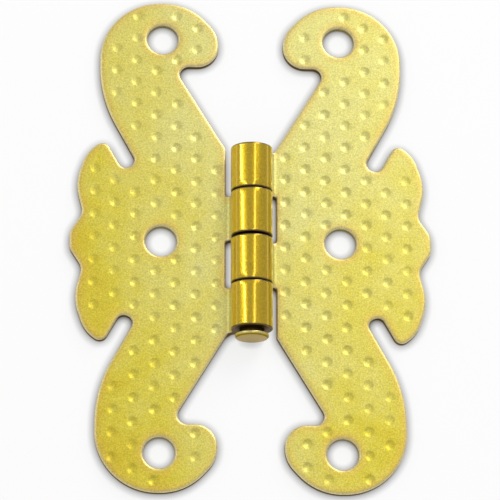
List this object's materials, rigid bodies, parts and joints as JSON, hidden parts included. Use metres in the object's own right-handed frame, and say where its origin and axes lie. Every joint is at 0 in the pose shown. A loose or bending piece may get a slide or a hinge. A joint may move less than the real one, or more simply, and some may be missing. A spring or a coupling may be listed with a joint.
{
  "type": "butterfly hinge",
  "caption": "Flat butterfly hinge with two scrolled, hammered leaves rolled round one pin, and screw holes down each leaf.",
  "frame": {"origin": "middle of the hinge's footprint, on the plane of the leaves' backs, under the pin's axis", "axes": "+X across the hinge to the right leaf, +Y up along the pin, +Z out of the front face"},
  "size_m": [0.0528, 0.0746, 0.0061],
  "materials": {
    "leaf_brass": "satin brass plating, hammered",
    "pin_brass": "bright brass plating"
  },
  "bodies": {
    "left_leaf": {"left_leaf": "leaf_brass", "pin": "pin_brass"},
    "right_leaf": {"right_leaf": "leaf_brass"}
  },
  "joints": [
    {"name": "hinge_pin", "type": "hinge", "parent": "left_leaf", "child": "right_leaf", "pos_m": [0, 0, 0.00305], "axis": [0, -1, 0], "range_deg": [-95, 180]}
  ]
}
